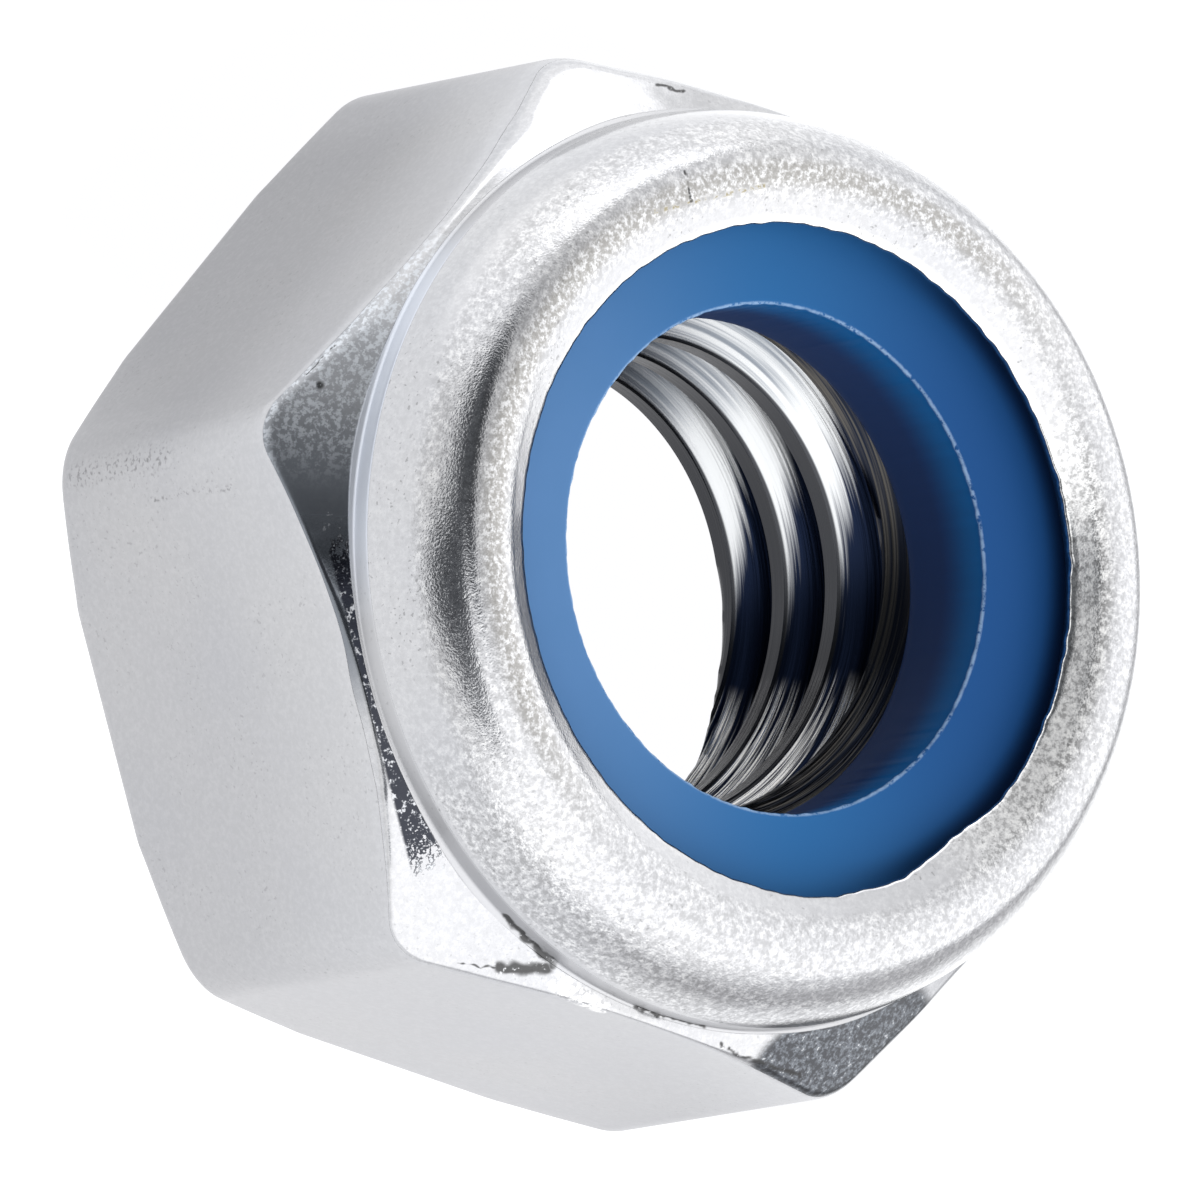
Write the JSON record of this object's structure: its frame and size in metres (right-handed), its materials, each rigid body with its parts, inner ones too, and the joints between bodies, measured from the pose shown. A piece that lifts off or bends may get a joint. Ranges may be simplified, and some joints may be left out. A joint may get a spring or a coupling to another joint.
{
  "type": "nylon insert lock nut",
  "caption": "Hexagonal steel lock nut with a tapped bore and a round collar rolled in over a blue nylon ring that grips the bolt's thread.",
  "frame": {"origin": "centre of the bearing face, on the thread's axis", "axes": "+Z along the thread's axis from the bearing face to the collar; +Y through a corner of the hexagon; +X through the middle of a flat"},
  "size_m": [0.013, 0.0148, 0.008],
  "materials": {
    "zinc_steel": "bright zinc plate over cold-formed steel, satin flats with fine pits and scuffs",
    "blue_nylon": "satin blue nylon with faint cut marks and a pale burr round the bore"
  },
  "bodies": {
    "root": {"nut_body": "zinc_steel", "nylon_insert": "blue_nylon"}
  },
  "joints": []
}
